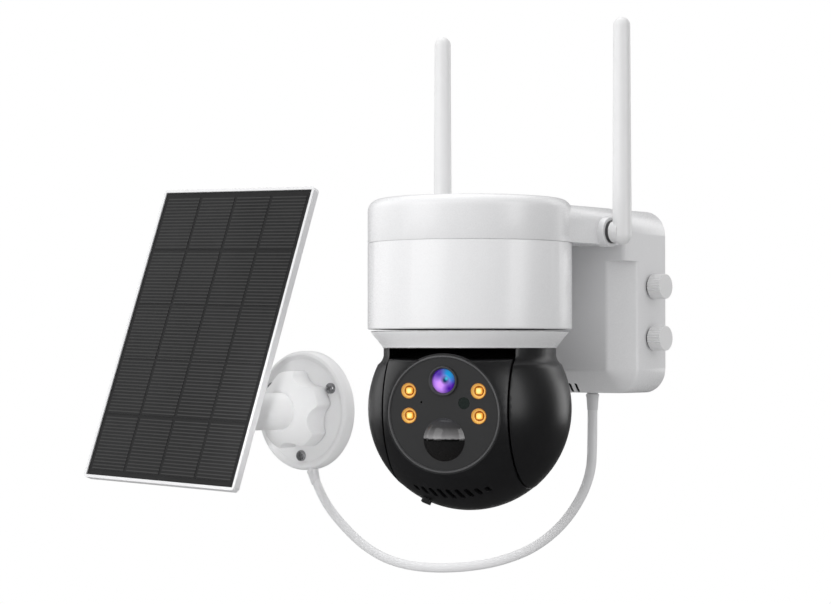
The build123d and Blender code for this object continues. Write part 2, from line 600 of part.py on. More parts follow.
with BuildPart() as face_plate:
    with BuildSketch(on(HEAD, Plane.XZ.offset(FACE_BACK))):
        Circle(FACE_R)
        with Locations((0, LENS_Z)):
            Circle(LENS_R + 0.02, mode=Mode.SUBTRACT)
        with Locations((0, PIR_Z)):
            Circle(PIR_R + 0.02, mode=Mode.SUBTRACT)
        with Locations(*LED_PLACES):
            Circle(LED_R + 0.02, mode=Mode.SUBTRACT)
        with Locations(LIGHT_PLACE):
            Circle(LIGHT_R + 0.02, mode=Mode.SUBTRACT)
        with Locations(MIC_PLACE):
            Circle(0.55, mode=Mode.SUBTRACT)
    extrude(amount=FACE_H - FACE_BACK)
keep(face_plate, "face_plate")

with BuildPart() as lens_ring:
    turned(
        face_section(0, LENS_Z),
        (
            (6.4, FACE_BACK),
            (LENS_R, FACE_BACK),
            (LENS_R, FACE_H + 0.9),
            (LENS_R - 0.4, FACE_H + 1.3),
            (LENS_R - 0.9, FACE_H + 1.3),
            (6.4, FACE_H + 0.2),
        ),
    )
keep(lens_ring, "lens_ring")

with BuildPart() as lens_glass:
    section = face_section(0, LENS_Z)
    with BuildSketch(section) as glass_profile:
        with BuildLine():
            Polyline((0, FACE_H + 0.6), (0, FACE_H - 1.6), (6.38, FACE_H - 1.6), (6.38, FACE_H - 0.4))
            ThreePointArc(*dome(6.38, FACE_H - 0.4, FACE_H + 0.6))
        make_face()
    revolve(glass_profile.sketch, axis=Axis(section.origin, section.y_dir))
keep(lens_glass, "lens_glass")

SENSOR_H = 27.0
with BuildPart() as lens_barrel:
    turned(
        face_section(0, LENS_Z),
        (
            (0, SENSOR_H),
            (7.0, SENSOR_H),
            (7.0, SENSOR_H + 5),
            (5.9, SENSOR_H + 5),
            (5.9, FACE_H - 1.65),
            (4.4, FACE_H - 1.65),
            (2.6, FACE_H - 5),
            (0, FACE_H - 5),
        ),
    )
keep(lens_barrel, "lens_barrel")

with BuildPart() as sensor_board:
    with BuildSketch(on(HEAD, Plane.XZ.offset(SENSOR_H - 1.4))):
        with Locations((0, LENS_Z - 1)):
            Rectangle(26, 15.5)
    extrude(amount=1.4)
keep(sensor_board, "sensor_board")

with BuildPart() as led_cups:
    for x, z in LED_PLACES:
        turned(
            face_section(x, z),
            (
                (0, FACE_BACK - 1.5),
                (LED_R, FACE_BACK - 1.5),
                (LED_R, FACE_H + 0.3),
                (LED_R - 0.6, FACE_H + 0.3),
                (2.1, FACE_BACK),
                (0, FACE_BACK),
            ),
        )
keep(led_cups, "led_cups")

with BuildPart() as led_chips:
    with BuildSketch(on(HEAD, Plane.XZ.offset(FACE_BACK))):
        with Locations(*LED_PLACES):
            Rectangle(2.7, 2.7)
    extrude(amount=0.9)
keep(led_chips, "led_chips")

with BuildPart() as led_board:
    with BuildSketch(on(HEAD, Plane.XZ.offset(FACE_BACK - 3.0))):
        with Locations((-19.1, 5.6), (19.1, 5.6)):
            RectangleRounded(9, 20, 1)
    extrude(amount=1.5)
keep(led_board, "led_board")

PIR_RISE, PIR_SKIN = 5.4, 0.9
with BuildPart() as motion_lens:
    section = face_section(0, PIR_Z)
    with BuildSketch(section) as dome_profile:
        with BuildLine():
            inner_r, inner_top = PIR_R - PIR_SKIN, FACE_H + PIR_RISE - PIR_SKIN
            Polyline((inner_r, FACE_H), (inner_r, FACE_BACK), (PIR_R, FACE_BACK), (PIR_R, FACE_H))
            ThreePointArc(*dome(PIR_R, FACE_H, FACE_H + PIR_RISE))
            Line((0, FACE_H + PIR_RISE), (0, inner_top))
            ThreePointArc(*dome(inner_r, FACE_H, inner_top))
        make_face()
    revolve(dome_profile.sketch, axis=Axis(section.origin, section.y_dir))
keep(motion_lens, "motion_lens")

with BuildPart() as motion_sensor:
    turned(
        face_section(0, PIR_Z),
        ((0, FACE_BACK - 4), (5.2, FACE_BACK - 4), (5.2, FACE_BACK - 3.4), (4.5, FACE_BACK - 3.4),
         (4.5, FACE_BACK), (0, FACE_BACK)),
    )
keep(motion_sensor, "motion_sensor")

with BuildPart() as light_sensor:
    with BuildSketch(on(HEAD, Plane.XZ.offset(FACE_BACK - 1.5))):
        with Locations(LIGHT_PLACE):
            Circle(LIGHT_R)
    extrude(amount=FACE_H - FACE_BACK + 1.3)
keep(light_sensor, "light_sensor")

with BuildPart() as microphone:
    with BuildSketch(on(HEAD, Plane.XZ.offset(FACE_BACK - 2))):
        with Locations(MIC_PLACE):
            Circle(1.8)
    extrude(amount=2)
keep(microphone, "microphone")

with BuildPart() as speaker:
    with BuildSketch(SPEAKER.offset(40)):
        Circle(8.0)
    extrude(amount=3)
    with BuildSketch(SPEAKER.offset(43)):
        Circle(12.0)
    extrude(amount=3.5)
keep(speaker, "speaker")

with BuildPart() as card_reader:
    with BuildSketch(CARD.offset(43)):
        Rectangle(6, 2.6)
        Rectangle(4.0, 1.2, mode=Mode.SUBTRACT)
    extrude(amount=8)
keep(card_reader, "card_reader")

CARD_COVER_L, CARD_COVER_W, CARD_COVER_H, CARD_COVER_T = 5.2, 4.2, 55.0, 2.0
with BuildPart() as card_cover:
    with BuildSketch(CARD.offset(CARD_COVER_H)):
        RectangleRounded(CARD_COVER_L, CARD_COVER_W, 1.2)
    extrude(amount=CARD_COVER_T)
keep(card_cover, "card_cover")

with BuildPart() as tilt_shaft:
    with BuildSketch(on(HEAD, Plane.YZ.offset(HEAD_HALF - HEAD_T - 2))):
        Circle(6.0)
    extrude(amount=2)
    with BuildSketch(on(HEAD, Plane.YZ.offset(HEAD_HALF - HEAD_T))):
        Circle(PIVOT_R)
    extrude(amount=YOKE_FACE_X + CHEEK_T + 9.5 - HEAD_HALF + HEAD_T)
keep(tilt_shaft, "tilt_shaft")

with BuildPart() as tilt_journal:
    with BuildSketch(on(HEAD, Plane.YZ.offset(-(HEAD_HALF - HEAD_T - 2)))):
        Circle(8.0)
    extrude(amount=-2)
    with BuildSketch(on(HEAD, Plane.YZ.offset(-(HEAD_HALF - HEAD_T)))):
        Circle(JOURNAL_R)
    extrude(amount=-(YOKE_FACE_X + CHEEK_T + 0.5 - HEAD_HALF + HEAD_T))
    with BuildSketch(on(HEAD, Plane.YZ.offset(-(HEAD_HALF - HEAD_T - 3)))):
        Circle(3.4)
    extrude(amount=-12, mode=Mode.SUBTRACT)
keep(tilt_journal, "tilt_journal")

# ---- solar mount --------------------------------------------------------------------------------

BASE_SECTION = on(SOLAR, Plane(origin=(0, 0, 0), x_dir=(1, 0, 0), z_dir=(0, -1, 0)))
EXIT_X = BASE_EXIT_R * cos(radians(BASE_EXIT_ANGLE))
EXIT_Z = BASE_EXIT_R * sin(radians(BASE_EXIT_ANGLE))
EXIT_DIR = (cos(radians(CORD_START_ANGLE)), sin(radians(CORD_START_ANGLE)))
GLAND_R, GLAND_LENGTH = 3.1, 5.0
GLAND = on(SOLAR, Plane(origin=(EXIT_X, EXIT_Z, BASE_EXIT_H), z_dir=(EXIT_DIR[0], EXIT_DIR[1], 0)))
with BuildPart() as solar_base:
    turned(
        BASE_SECTION,
        (
            (10.0 + FIT, 0),
            (BASE_R, 0),
            (BASE_R, BASE_RIM - 2.8),
            (BASE_R - 0.8, BASE_RIM - 0.8),
            (BASE_R - 2.3, BASE_RIM),
            (BASE_R - 3.5, BASE_RIM - 0.2),
            (BASE_R - 5.1, BASE_FLOOR),
            (HUB_BOSS_R, BASE_FLOOR),
            (HUB_BOSS_R, HUB_BOSS_H),
            (10.0 + FIT, HUB_BOSS_H),
        ),
    )
    with BuildSketch(SOLAR):
        Circle(BASE_R - WALL)
        Circle(HUB_BOSS_R, mode=Mode.SUBTRACT)
        with PolarLocations(SCREW_CIRCLE_R, 3, start_angle=SCREW_ANGLE):
            Circle(4.5, mode=Mode.SUBTRACT)
    extrude(amount=BASE_FLOOR - WALL, mode=Mode.SUBTRACT)
    with BuildSketch(SOLAR):
        with PolarLocations(SCREW_CIRCLE_R, 3, start_angle=SCREW_ANGLE):
            Circle(SCREW_HOLE_R)
    extrude(amount=BASE_FLOOR + 2, mode=Mode.SUBTRACT)
    with BuildSketch(GLAND.offset(-GLAND_LENGTH)):
        Circle(GLAND_R)
    extrude(amount=2 * GLAND_LENGTH, mode=Mode.SUBTRACT)
keep(solar_base, "solar_base")

with BuildPart() as base_gland:
    with BuildSketch(GLAND):
        Circle(GLAND_R - 0.02)
    extrude(amount=-GLAND_LENGTH)
keep(base_gland, "base_gland")

with BuildPart() as solar_base_screws:
    with BuildSketch(SOLAR.offset(BASE_FLOOR)):
        with PolarLocations(SCREW_CIRCLE_R, 3, start_angle=SCREW_ANGLE):
            Circle(3.4)
    extrude(amount=2.4)
    fillet(solar_base_screws.faces().group_by(Axis.Y)[0].edges(), 1.1)
    with BuildSketch(SOLAR.offset(BASE_FLOOR + 1.2)):
        with PolarLocations(SCREW_CIRCLE_R, 3, start_angle=SCREW_ANGLE):
            Rectangle(4.2, 0.9)
            Rectangle(0.9, 4.2)
    extrude(amount=2, mode=Mode.SUBTRACT)
    with BuildSketch(SOLAR.offset(BASE_FLOOR)):
        with PolarLocations(SCREW_CIRCLE_R, 3, start_angle=SCREW_ANGLE):
            Circle(SCREW_NECK_R)
    extrude(amount=-BASE_FLOOR)
    with BuildSketch(SOLAR):
        with PolarLocations(SCREW_CIRCLE_R, 3, start_angle=SCREW_ANGLE):
            Circle(SCREW_R)
    extrude(amount=-SCREW_LENGTH)
    chamfer(solar_base_screws.faces().group_by(Axis.Y)[-1].edges(), 2.5, 1.4)
keep(solar_base_screws, "solar_base_screws")

with BuildPart() as lock_nut:
    with BuildSketch(SOLAR.offset(BASE_FLOOR + 0.7)) as star:
        Circle(NUT_R)
        with PolarLocations(33.0, NUT_LOBES, start_angle=NUT_FIRST_LOBE + 180 / NUT_LOBES):
            Circle(13.0, mode=Mode.SUBTRACT)
        fillet(star.vertices(), 3.0)
    extrude(amount=NUT_TOP - BASE_FLOOR - 0.7)
    bore_r, boss_r, step_h = ARM_R + 2 * FIT, HUB_BOSS_R + FIT, HUB_BOSS_H + 2
    with BuildSketch(BASE_SECTION) as nut_section:
        with BuildLine():
            Polyline((13.2, NUT_TOP), (bore_r, NUT_TOP), (bore_r, step_h), (boss_r, step_h), (boss_r, 0))
            Polyline((boss_r, 0), (27, 0), (27, 17.5))
            ThreePointArc((27, 17.5), (20.5, 24.0), (13.2, NUT_TOP))
        make_face()
    revolve(nut_section.sketch, axis=Axis(BASE_SECTION.origin, BASE_SECTION.y_dir), mode=Mode.INTERSECT)
keep(lock_nut, "lock_nut")

BARREL_END, TONGUE_HALF, KNUCKLE_R = 84.0, 4.5, 9.0
with BuildPart() as solar_arm:
    turned(
        on(ARM, Plane(origin=(0, 0, 0), x_dir=(1, 0, 0), z_dir=(0, -1, 0))),
        (
            (5.0, 5.0),
            (10.0, 5.0),
            (10.0, HUB_BOSS_H + 0.1),
            (13.4, HUB_BOSS_H + 0.1),
            (13.4, HUB_BOSS_H + 1.8),
            (ARM_R, HUB_BOSS_H + 1.8),
            (ARM_R, BARREL_END - 2),
            (ARM_R - 2, BARREL_END),
            (0, BARREL_END),
            (0, BARREL_END - 8),
            (5.0, BARREL_END - 8),
        ),
    )
    with BuildSketch(on(ARM, Plane.YZ)):
        with Locations((0, (PIN_H + BARREL_END) / 2 - 1)):
            Rectangle(2 * KNUCKLE_R, PIN_H - BARREL_END + 2)
        with Locations((0, PIN_H)):
            Circle(KNUCKLE_R)
    extrude(amount=TONGUE_HALF, both=True)
    with BuildSketch(on(ARM, Plane.YZ)):
        with Locations((0, PIN_H)):
            Circle(PIN_R + FIT)
    extrude(amount=2 * TONGUE_HALF, both=True, mode=Mode.SUBTRACT)
keep(solar_arm, "solar_arm")

# ---- solar panel --------------------------------------------------------------------------------

FRAME_BACK = PANEL_FRONT - FRAME_T
LEDGE, CELL_SHEET_T, SEAT = 5.0, 2.2, 0.1
with BuildPart() as panel_frame:
    with BuildSketch(PANEL.offset(FRAME_BACK)):
        with Locations((0, PANEL_RISE)):
            RectangleRounded(PANEL_W, PANEL_H, 2.5)
            Rectangle(PANEL_W - 2 * LEDGE, PANEL_H - 2 * LEDGE, mode=Mode.SUBTRACT)
    extrude(amount=FRAME_T)
    with BuildSketch(PANEL.offset(PANEL_FRONT - CELL_SHEET_T - 0.4)):
        with Locations((0, PANEL_RISE)):
            Rectangle(PANEL_W - 2 * FRAME_LIP, PANEL_H - 2 * FRAME_LIP)
    extrude(amount=FRAME_T, mode=Mode.SUBTRACT)
keep(panel_frame, "panel_frame")

with BuildPart() as solar_cells:
    with BuildSketch(PANEL.offset(PANEL_FRONT - CELL_SHEET_T - 0.4)):
        with Locations((0, PANEL_RISE)):
            Rectangle(PANEL_W - 2 * FRAME_LIP - SEAT, PANEL_H - 2 * FRAME_LIP - SEAT)
    extrude(amount=CELL_SHEET_T)
keep(solar_cells, "solar_cells")

with BuildPart() as panel_back:
    with BuildSketch(PANEL.offset(FRAME_BACK)):
        with Locations((0, PANEL_RISE)):
            Rectangle(PANEL_W - 2 * LEDGE - SEAT, PANEL_H - 2 * LEDGE - SEAT)
    extrude(amount=FRAME_T - CELL_SHEET_T - 0.4)
keep(panel_back, "panel_back")

LUG_IN, LUG_T, LUG_R, HINGE_T = TONGUE_HALF + 0.3, 4.0, 8.5, 2.4
with BuildPart() as panel_hinge:
    with BuildSketch(PANEL.offset(FRAME_BACK - HINGE_T)):
        RectangleRounded(42, 48, 5)
    extrude(amount=HINGE_T)
    for side in (-1, 1):
        with BuildSketch(on(PANEL, Plane.YZ.offset(side * LUG_IN))):
            Circle(LUG_R)
            with Locations((0, FRAME_BACK / 2)):
                Rectangle(2 * LUG_R, FRAME_BACK)
            Circle(PIN_R + 0.02, mode=Mode.SUBTRACT)
        extrude(amount=side * LUG_T)
keep(panel_hinge, "panel_hinge")

with BuildPart() as tilt_bolt:
    with BuildSketch(on(PANEL, Plane.YZ)):
        Circle(PIN_R)
    extrude(amount=LUG_IN + LUG_T, both=True)
    with BuildSketch(on(PANEL, Plane.YZ.offset(LUG_IN + LUG_T))):
        Circle(5.5)
    extrude(amount=3.2)
    with BuildSketch(on(PANEL, Plane.YZ.offset(-LUG_IN - LUG_T))):
        RegularPolygon(5.8, 6)
    extrude(amount=-4.5)
keep(tilt_bolt, "tilt_bolt")

with BuildPart() as junction_box:
    with BuildSketch(PANEL.offset(FRAME_BACK - 9)):
        with Locations((0, PANEL_RISE + 24)):
            RectangleRounded(46, 30, 4)
    extrude(amount=9)
    fillet(junction_box.faces().sort_by(Axis.Y)[-1].edges(), 1.5)
keep(junction_box, "junction_box")

# ---- cord ---------------------------------------------------------------------------------------

# From the solar base's lower rim it drops, runs to the right in one slack curve and rises into the box.
CORD_FIRST_RUN = 18.2
start_x, start_z = SOLAR_X + EXIT_X, SOLAR_Z + EXIT_Z
CORD_ROUTE = [
    (start_x, -BASE_EXIT_H, start_z),
    (start_x + CORD_FIRST_RUN * EXIT_DIR[0], -BASE_EXIT_H, start_z + CORD_FIRST_RUN * EXIT_DIR[1]),
    (-172.8, -6.9, -141.7),
    (-148.8, -8.8, -153.4),
    (-123.9, -10.6, -157.9),
    (-98.3, -12.2, -157.8),
    (-72.2, -13.8, -155.0),
    (-47.4, -15.3, -149.9),
    (-21.1, -16.9, -140.0),
    (1.8, -18.3, -122.9),
    (17.6, -19.3, -99.2),
    (18.8, -19.4, -75.5),
    BOX_EXIT,
]
corners = [Vector(*point) for point in CORD_ROUTE]
runs = [end - start for start, end in zip(corners, corners[1:])]
turns = [before.get_angle(after) for before, after in zip(runs, runs[1:])]
radii = [
    0.45 * min(before.length, after.length) / tan(radians(turn) / 2)
    for before, after, turn in zip(runs, runs[1:], turns)
]
print("cord runs", [round(run.length, 1) for run in runs])
print("cord turns", [round(turn, 1) for turn in turns])
print("cord radii", [round(radius, 1) for radius in radii])

with BuildPart() as cord:
    with BuildLine() as route:
        FilletPolyline(*corners, radius=radii)
    with BuildSketch(Plane(origin=route.wire() @ 0, z_dir=route.wire() % 0)):
        Circle(CORD_R)
    sweep(path=route.wire())
cord_length = route.wire().length
print("cord length", round(cord_length, 2), "volume ratio", cord.part.volume / (pi * CORD_R**2 * cord_length))
keep(cord, "cord")
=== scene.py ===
import json
from math import asin, cos, pi, radians, sin, tan

import bmesh
import bpy
from mathutils import Matrix, Vector


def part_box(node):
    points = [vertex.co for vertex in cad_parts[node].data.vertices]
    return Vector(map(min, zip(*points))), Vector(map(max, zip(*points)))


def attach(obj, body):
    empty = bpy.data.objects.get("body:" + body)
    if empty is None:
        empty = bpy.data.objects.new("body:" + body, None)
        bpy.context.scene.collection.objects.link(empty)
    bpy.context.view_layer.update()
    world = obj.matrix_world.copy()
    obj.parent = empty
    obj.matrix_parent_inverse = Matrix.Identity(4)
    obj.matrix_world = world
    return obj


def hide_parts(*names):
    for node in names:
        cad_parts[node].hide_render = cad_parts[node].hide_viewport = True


# Solar-powered security camera, dressed over its CAD frame. Lengths are metres, in the frame's axes:
# X right, Z up, Y into the wall. The pieces' own dimensions are written in millimetres, and MM or
# metres() makes metres of them. Outlines of turned pieces are (radius, height) pairs.

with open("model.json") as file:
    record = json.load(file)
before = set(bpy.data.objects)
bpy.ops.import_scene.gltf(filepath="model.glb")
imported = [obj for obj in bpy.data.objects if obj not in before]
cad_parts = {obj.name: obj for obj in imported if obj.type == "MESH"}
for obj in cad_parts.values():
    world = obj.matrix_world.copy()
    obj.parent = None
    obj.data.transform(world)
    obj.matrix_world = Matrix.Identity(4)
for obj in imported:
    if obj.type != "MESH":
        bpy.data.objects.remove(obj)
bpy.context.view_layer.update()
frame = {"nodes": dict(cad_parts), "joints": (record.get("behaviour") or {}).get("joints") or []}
nodes = frame["nodes"]

MM = 0.001
scene = bpy.context.scene


def add_object(name, data):
    """Put data in the scene as an object."""
    item = bpy.data.objects.new(name, data)
    scene.collection.objects.link(item)
    return item


# ---- places taken from the frame ----------------------------------------------------------------

joints = {joint["name"]: joint for joint in frame["joints"]}


def middle(node):
    """Centre of a CAD node's box."""
    low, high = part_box(node)
    return (low + high) / 2


def local_frame(origin, angles):
    """Matrix of a local frame: an origin, then turns about its own axes in the order given."""
    matrix = Matrix.Translation(origin)
    for axis, angle in angles:
        matrix = matrix @ Matrix.Rotation(radians(angle), 4, axis)
    return matrix


# How far the head and the panel are turned at rest, in degrees.
PAN_REST, TILT_REST = 19.9, 2.6
ARM_ROLL, PANEL_TILT = 1.6, 19.8

BALL = Vector(joints["head_tilt"]["pos_m"])
HEAD = local_frame(BALL, (("Z", PAN_REST), ("X", TILT_REST)))
PIN = Vector(joints["solar_panel"]["pos_m"])
PANEL = local_frame(PIN, (("X", 90), ("Z", -ARM_ROLL), ("X", -PANEL_TILT)))


def on_face(x, z):
    """Frame of a face feature: local z points out of the face, at (x, z) millimetres from its middle."""
    return HEAD @ Matrix.Translation((x * MM, 0, z * MM)) @ Matrix.Rotation(radians(90), 4, "X")


# ---- camera -------------------------------------------------------------------------------------

# Fitted to the photo: azimuth (0 looks along +Y) and elevation in degrees, focal length in millimetres,
# then distance, sideways shift and height in metres.
AIM, DIP = 39.27, -1.26
FOCAL, DISTANCE, SHIFT, RAISE = 95.98, 1.27782, 0.09759, 0.00068

turn, dip = radians(AIM), radians(DIP)
aside = Vector((cos(turn), sin(turn), 0))
backwards = Vector((sin(turn) * cos(dip), -cos(turn) * cos(dip), sin(dip)))
camera_data = bpy.data.cameras.new("camera")
camera_data.lens = FOCAL
camera = add_object("camera", camera_data)
camera.location = Vector((0, 0, RAISE)) - SHIFT * aside + DISTANCE * backwards
camera.rotation_euler = (-backwards).to_track_quat("-Z", "Y").to_euler()
scene.camera = camera

# ---- materials ----------------------------------------------------------------------------------

MIX_UNDER, MIX_OVER, MIX_RESULT = 6, 7, 2  # the colour sockets of a Mix node


def blend(tree, factor, under, over):
    """Mix two colours by a factor socket: under at 0, over at 1. Each is a socket or three values."""
    mixer = tree.nodes.new("ShaderNodeMix")
    mixer.data_type = "RGBA"
    tree.links.new(factor, mixer.inputs["Factor"])
    for index, colour in ((MIX_UNDER, under), (MIX_OVER, over)):
        if isinstance(colour, bpy.types.NodeSocket):
            tree.links.new(colour, mixer.inputs[index])
        else:
            mixer.inputs[index].default_value = (*colour, 1)
    return mixer.outputs[MIX_RESULT]


def noise(tree, scale, detail=3.0, roughness=0.5):
    """Noise output over the object's own coordinates; scale is features per metre."""
    coordinates = tree.nodes.new("ShaderNodeTexCoord")
    cloud = tree.nodes.new("ShaderNodeTexNoise")
    cloud.inputs["Scale"].default_value = scale
    cloud.inputs["Detail"].default_value = detail
    cloud.inputs["Roughness"].default_value = roughness
    tree.links.new(coordinates.outputs["Object"], cloud.inputs["Vector"])
    return cloud.outputs["Fac"]


def spread(tree, value, low, high, start=0.3, end=0.7):
    """Map a value from start..end onto low..high."""
    stretch = tree.nodes.new("ShaderNodeMapRange")
    stretch.inputs["From Min"].default_value = start
    stretch.inputs["From Max"].default_value = end
    stretch.inputs["To Min"].default_value = low
    stretch.inputs["To Max"].default_value = high
    tree.links.new(value, stretch.inputs["Value"])
    return stretch.outputs["Result"]


def material(name, colour, rough, grain=1800.0, depth=0.00002, shade=0.94, blotch=60.0, **shader):
    """Moulded or plated surface: grainy bump, roughness that varies, and faint uneven colour."""
    made = bpy.data.materials.new(name)
    made.use_nodes = True
    tree = made.node_tree
    surface = tree.nodes["Principled BSDF"]
    fine = noise(tree, grain)
    broad = noise(tree, blotch, 4.0, 0.6)
    dark = tuple(channel * shade for channel in colour)
    tree.links.new(blend(tree, spread(tree, broad, 0, 1), dark, colour), surface.inputs["Base Color"])
    tree.links.new(spread(tree, fine, rough[0], rough[1]), surface.inputs["Roughness"])
    bump = tree.nodes.new("ShaderNodeBump")
    bump.inputs["Distance"].default_value = depth
    bump.inputs["Strength"].default_value = 0.6
    tree.links.new(fine, bump.inputs["Height"])
    tree.links.new(bump.outputs["Normal"], surface.inputs["Normal"])
    for socket, value in shader.items():
        surface.inputs[socket.replace("_", " ")].default_value = value
    return made


white = material("white_plastic", (0.80, 0.80, 0.81), (0.22, 0.34), grain=2600, shade=0.985)
cool_white = material("white_soft_plastic", (0.78, 0.78, 0.785), (0.34, 0.46), grain=2200, shade=0.98)
black = material(
    "black_satin", (0.012, 0.012, 0.013), (0.27, 0.36), grain=2400, shade=0.8, Specular_IOR_Level=0.42
)
deep_black = material(
    "black_matte", (0.006, 0.006, 0.0065), (0.55, 0.7), grain=1500, shade=0.8, Specular_IOR_Level=0.2
)
plate_grey = material(
    "face_plate_grey", (0.028, 0.028, 0.029), (0.4, 0.5), grain=3200, shade=0.95, Specular_IOR_Level=0.3
)
rim_grey = material("face_rim_grey", (0.09, 0.09, 0.093), (0.25, 0.35), grain=2400, shade=0.9)
steel = material("bracket_steel", (0.55, 0.56, 0.57), (0.3, 0.5), grain=900, shade=0.85, Metallic=1.0)
dark_steel = material(
    "dark_screw_steel", (0.34, 0.34, 0.35), (0.22, 0.34), grain=1800, shade=0.8, Metallic=0.75
)
copper = material("antenna_copper", (0.72, 0.38, 0.2), (0.25, 0.4), grain=1500, shade=0.8, Metallic=1.0)
board = material("circuit_board_green", (0.02, 0.09, 0.045), (0.35, 0.5), grain=1200, shade=0.8)
rubber = material("black_rubber", (0.03, 0.03, 0.032), (0.6, 0.75), grain=1300, shade=0.8)
cell_wrap = material("battery_wrap", (0.04, 0.13, 0.30), (0.25, 0.4), grain=800, shade=0.85)
mesh_black = material(
    "vent_mesh_black", (0.003, 0.003, 0.0032), (0.6, 0.8), grain=900, depth=0.0002, shade=0.6
)
ring_dark = material("ring_dark_grey", (0.05, 0.05, 0.052), (0.4, 0.5), grain=1800, shade=0.85)
cord_white = material(
    "cord_jacket", (0.80, 0.80, 0.81), (0.38, 0.5), grain=260, depth=0.000001, shade=0.97
)
relief_white = material("strain_relief", (0.72, 0.72, 0.73), (0.42, 0.55), grain=1500, shade=0.97)
frame_white = material("panel_frame_white", (0.78, 0.78, 0.79), (0.3, 0.42), grain=2200, shade=0.97)
speaker_black = material("speaker_cone", (0.01, 0.01, 0.01), (0.5, 0.7), grain=1200, shade=0.7)
sensor_can = material("sensor_can", (0.6, 0.6, 0.58), (0.25, 0.4), grain=1500, shade=0.9, Metallic=1.0)
light_green = material(
    "light_sensor_green", (0.0008, 0.008, 0.0055), (0.16, 0.24), grain=900, shade=0.7, Specular_IOR_Level=0.3
)
gold = material("led_cup_gold", (0.95, 0.62, 0.18), (0.18, 0.28), grain=2000, shade=0.9, Metallic=0.75)

finishes = (
    (relief_white, "box_gland base_gland cord"),
    (ring_dark, "lens_glass motion_lens led_chips solar_cells"),
    (white, "battery_box top_cover drum_body pan_collar"),
    (cool_white, "antenna_left antenna_right solar_base solar_arm lock_nut"),
    (cool_white, "thumb_screw_upper thumb_screw_lower back_plate panel_back panel_hinge junction_box"),
    (frame_white, "panel_frame"),
    (black, "yoke_shell_left yoke_shell_right head_front_shell head_rear_shell card_cover"),
    (deep_black, "yoke_bracket lens_barrel card_reader tilt_journal microphone"),
    (plate_grey, "face_plate"),
    (rim_grey, "face_rim"),
    (steel, "wall_bracket tilt_shaft pan_shaft pan_motor tilt_motor antenna_axles tilt_bolt"),
    (dark_steel, "solar_base_screws"),
    (copper, "antenna_core_left antenna_core_right"),
    (board, "charge_board main_board sensor_board led_board"),
    (rubber, "thumb_washer_upper thumb_washer_lower"),
    (cell_wrap, "battery_cells"),
    (mesh_black, "vent_mesh"),
    (ring_dark, "antenna_rings lens_ring"),
    (speaker_black, "speaker"),
    (sensor_can, "motion_sensor"),
    (light_green, "light_sensor"),
    (gold, "led_cups"),
)
for finish, names in finishes:
    for name in names.split():
        nodes[name].data.materials.clear()
        nodes[name].data.materials.append(finish)


def soften(names, width, segments=3, angle=35.0):
    """Small roundings on the sharp edges of carried CAD nodes."""
    for name in names.split():
        weld = nodes[name].modifiers.new("weld", "WELD")
        weld.merge_threshold = 0.000001
        edge = nodes[name].modifiers.new("edges", "BEVEL")
        edge.width = width
        edge.segments = segments
        edge.limit_method = "ANGLE"
        edge.angle_limit = radians(angle)
        edge.harden_normals = True
        edge.use_clamp_overlap = True


soften("top_cover drum_body pan_collar battery_box", 0.5 * MM)
soften("yoke_shell_left yoke_shell_right head_front_shell", 0.45 * MM)
soften("solar_base lock_nut solar_arm panel_frame", 0.6 * MM)
soften("thumb_screw_upper thumb_screw_lower", 0.25 * MM, 2)

# ---- building pieces ----------------------------------------------------------------------------


def place(name, mesh, matrix, finish, body):
    """Put a mesh in the scene as a piece that rides on a body."""
    mesh.transform(matrix)
    mesh.materials.append(finish)
    piece = add_object(name, mesh)
    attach(piece, body)
    return piece


def finished(form, name):
    """Turn a mesh being built into a mesh."""
    mesh = bpy.data.meshes.new(name)
    form.to_mesh(mesh)
    form.free()
    return mesh


def rounded(outline, radii, steps=5):
    """An outline with its corners rounded; radii are in step with its points, and 0 keeps a corner."""
    points = []
    count = len(outline)
    for index, radius in enumerate(radii):
        here = Vector(outline[index])
        if not radius:
            points.append(here)
            continue
        before = (Vector(outline[index - 1]) - here).normalized()
        after = (Vector(outline[(index + 1) % count]) - here).normalized()
        half = before.angle(after) / 2
        start, end = here + before * radius / tan(half), here + after * radius / tan(half)
        for step in range(steps + 1):
            part = step / steps
            points.append((1 - part) ** 2 * start + 2 * part * (1 - part) * here + part**2 * end)
    return points


def lathe(outline, segments=96):
    """Mesh turned about the local z axis from a closed outline of (radius, height) points, in metres."""
    form = bmesh.new()
    rings = []
    for radius, height in outline:
        if radius < 1e-7:
            rings.append([form.verts.new((0, 0, height))])
            continue
        angles = [2 * pi * step / segments for step in range(segments)]
        rings.append([form.verts.new((radius * cos(a), radius * sin(a), height)) for a in angles])
    for low, high in zip(rings, rings[1:] + rings[:1]):
        if len(low) == 1 and len(high) == 1:
            continue
        for step in range(segments):
            after = (step + 1) % segments
            corners = [low[step % len(low)], low[after % len(low)]]
            corners += [high[after % len(high)], high[step % len(high)]]
            form.faces.new(dict.fromkeys(corners))
    bmesh.ops.recalc_face_normals(form, faces=form.faces)
    mesh = finished(form, "turned")
    mesh.shade_smooth()
    mesh.set_sharp_from_angle(angle=radians(40))
    return mesh


def metres(points):
    """Points given in millimetres, as metres."""
    return [Vector(point) * MM for point in points]


# ---- cord ---------------------------------------------------------------------------------------

CORD_R, CORD_LENGTH = 2.75 * MM, 0.3134
